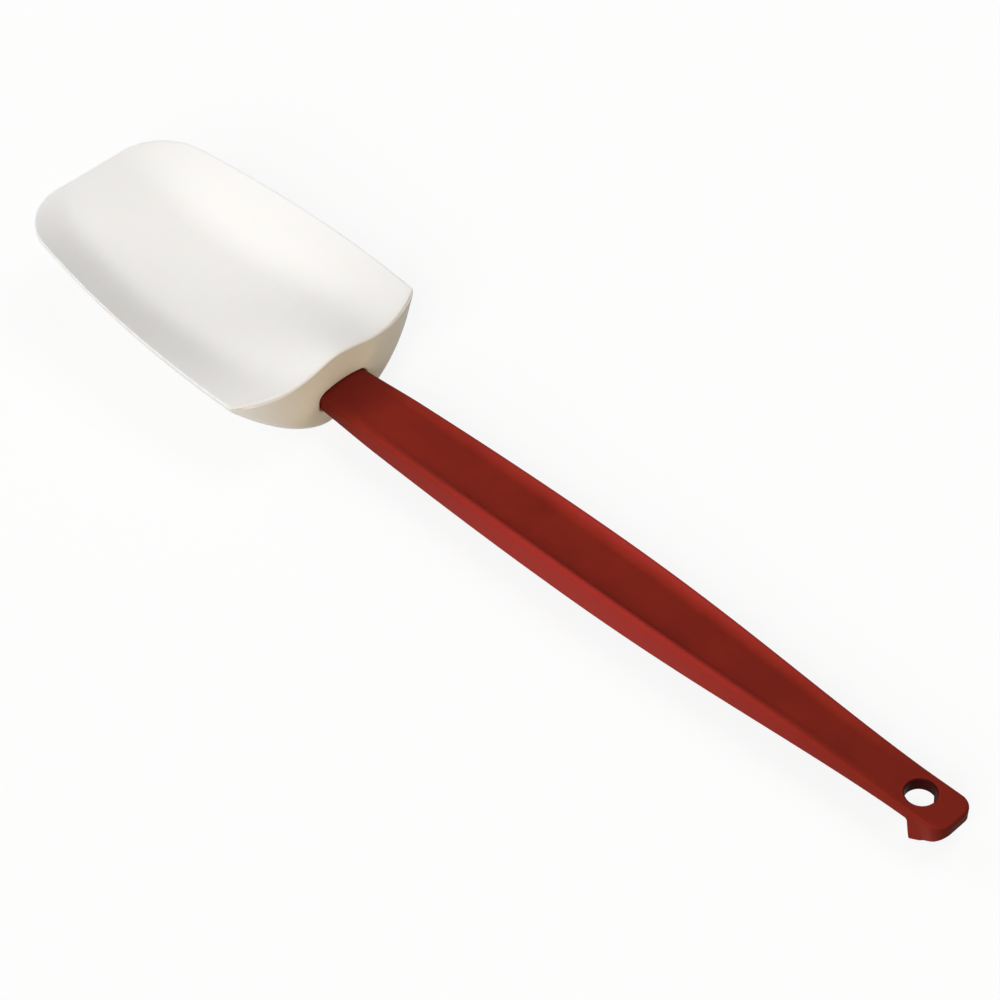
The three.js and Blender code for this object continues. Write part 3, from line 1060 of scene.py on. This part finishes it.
    def hole_cutter(self) -> bpy.types.Object:
        """Cutter of the hanging hole: a straight bore that flares as a quarter circle at the upper face.

        Returns:
            The cutter.
        """
        face = self.axis_height + self.web(self.hole_station)
        turn = quarter_turn(self.hole_rings)
        bore = self.hole_diameter / 2
        flare = np.stack([
            bore + self.hole_round * (1 - np.cos(turn)),
            face - self.hole_round * (1 - np.sin(turn)),
        ], axis=-1)
        foot = [[bore, -self.axis_height]]
        above = [[bore + self.hole_round, face + self.axis_height]]
        profile = np.concatenate([foot, flare, above])
        return lathe("hole_cutter", profile, self.back_wall + self.hole_station, self.hole_sides)

    def paint_bore_shade(self, piece: bpy.types.Object) -> None:
        """Paints shade on the hanging hole's wall: sets its points' wear_and_painted_light value to -1.

        Args:
            piece: The handle, with its hole cut.
        """
        points = np.empty((len(piece.data.vertices), 3), np.float32)
        piece.data.vertices.foreach_get("co", points.ravel())
        wear_and_painted_light = np.empty(len(points), np.float32)
        layer = piece.data.attributes[Mark.WEAR_AND_PAINTED_LIGHT.value].data
        layer.foreach_get("value", wear_and_painted_light)
        out = np.hypot(points[:, 0] - self.back_wall - self.hole_station, points[:, 1])
        wear_and_painted_light[out < self.hole_diameter / 2 + self.hole_round / 2] = -1.0
        layer.foreach_set("value", wear_and_painted_light)

    def build(self) -> bpy.types.Object:
        """Builds the handle as one closed skin, then cuts the tang's windows and the hanging hole.

        Returns:
            The finished piece.
        """
        rings, wear_and_light = self.rings()
        faces = ring_faces(len(rings), rings.shape[1], first_cap=True, last_cap=True)
        piece = mesh_object("nylon_handle", rings.reshape(-1, 3), faces, {Mark.WEAR_AND_PAINTED_LIGHT: wear_and_light})
        carve(piece, self.hole_cutter())
        window_radius = self.window_diameter / 2
        window = np.array([[window_radius, 0.0], [window_radius, 2 * self.axis_height]])
        for number in range(self.window_count):
            place = self.back_wall - self.window_first - number * self.window_pitch
            carve(piece, lathe("window_cutter", window, place, self.hole_sides))
        self.paint_bore_shade(piece)
        piece.data.materials.clear()
        piece.data.materials.append(self.finish.material())
        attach(piece, BODY)
        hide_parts(self.node)
        return piece


@dataclass(frozen=True)
class Lamp:
    """A soft, distant lamp.

    The strength is the light on a surface that faces it. The azimuth turns from -Y towards +X, and the
    spread is how wide the lamp looks from the object. All three angles are in degrees.
    """

    name: str
    strength: float
    azimuth: float
    elevation: float
    spread: float

    def hang(self) -> None:
        """Hangs the lamp in the scene."""
        data = bpy.data.lights.new(self.name, "SUN")
        data.energy = self.strength
        data.angle = math.radians(self.spread)
        lamp = bpy.data.objects.new(self.name, data)
        lamp.rotation_mode = "QUATERNION"
        lamp.rotation_quaternion = towards(self.azimuth, self.elevation).to_track_quat("Z", "Y")
        bpy.context.scene.collection.objects.link(lamp)


@dataclass
class Studio:
    """Pale floor, soft lamps, white surroundings and the camera at the photograph's viewing angle."""

    floor_finish: FloorFinish
    floor_size: float = 12.0
    ambient: float = 0.04
    lamps: tuple[Lamp, ...] = (
        Lamp("low_left", strength=0.5, azimuth=-60.0, elevation=12.0, spread=40.0),
        Lamp("left", strength=0.45, azimuth=-90.0, elevation=35.0, spread=40.0),
        Lamp("front", strength=2.32, azimuth=22.0, elevation=35.0, spread=45.0),
        Lamp("right", strength=0.4, azimuth=130.0, elevation=35.0, spread=40.0),
        Lamp("back", strength=0.83, azimuth=180.0, elevation=65.0, spread=40.0),
    )
    azimuth: float = 45.94
    elevation: float = 45.46
    roll: float = -1.16
    distance: float = 850 * MM
    focal_pixels: float = 3065.57
    image_pixels: float = 1000.0
    sensor: float = 36.0
    clip_range: tuple[float, float] = (0.01, 100.0)
    target: Vector = Vector((12.47 * MM, -5.88 * MM, 18.72 * MM))

    def floor(self) -> None:
        """Lays the floor at the height of the table."""
        half = self.floor_size / 2
        corners = [(-half, -half, 0.0), (half, -half, 0.0), (half, half, 0.0), (-half, half, 0.0)]
        mesh = bpy.data.meshes.new("floor")
        mesh.from_pydata(corners, [], [(0, 1, 2, 3)])
        piece = bpy.data.objects.new("floor", mesh)
        mesh.materials.append(self.floor_finish.material())
        bpy.context.scene.collection.objects.link(piece)

    def surroundings(self) -> None:
        """Makes the world an even soft light that the camera sees as white."""
        world = bpy.data.worlds.new("surroundings")
        paint = Paint(world)
        seen = seen_directly(paint)
        light = self.ambient + seen * (1.0 - self.ambient)
        glow = paint.node("ShaderNodeBackground", {}, {"Color": WHITE, "Strength": light})
        paint.node("ShaderNodeOutputWorld", {}, {"Surface": glow})
        bpy.context.scene.world = world

    def camera(self) -> None:
        """Sets the camera up at its place on the line of sight, turned by the roll about that line."""
        back = towards(self.azimuth, self.elevation)
        right = (-back).cross(Vector((0, 0, 1))).normalized()
        up = right.cross(-back)
        lean = math.radians(self.roll)
        across = right * math.cos(lean) + up * math.sin(lean)
        rise = up * math.cos(lean) - right * math.sin(lean)
        data = bpy.data.cameras.new("camera")
        data.sensor_width = self.sensor
        data.lens = self.focal_pixels * self.sensor / self.image_pixels
        data.clip_start, data.clip_end = self.clip_range
        camera = bpy.data.objects.new("camera", data)
        turned = Matrix((across, rise, back)).transposed().to_4x4()
        camera.matrix_world = Matrix.Translation(self.target + back * self.distance) @ turned
        bpy.context.scene.collection.objects.link(camera)
        bpy.context.scene.camera = camera

    def build(self) -> None:
        """Sets the whole studio up."""
        bpy.context.scene.view_settings.view_transform = "Standard"
        self.floor()
        for lamp in self.lamps:
            lamp.hang()
        self.surroundings()
        self.camera()


def main() -> None:
    """Builds the studio, the handle and the head, and reports each piece."""
    logging.basicConfig(level=logging.INFO, format="%(name)s: %(message)s")
    Studio(FloorFinish()).build()
    handle = Handle(NylonFinish())
    head = SpoonHead(SiliconeFinish(), handle)
    for piece in (handle.build(), head.build()):
        LOG.info("%s has %d faces", piece.name, len(piece.data.polygons))


if __name__ == "__main__":
    main()
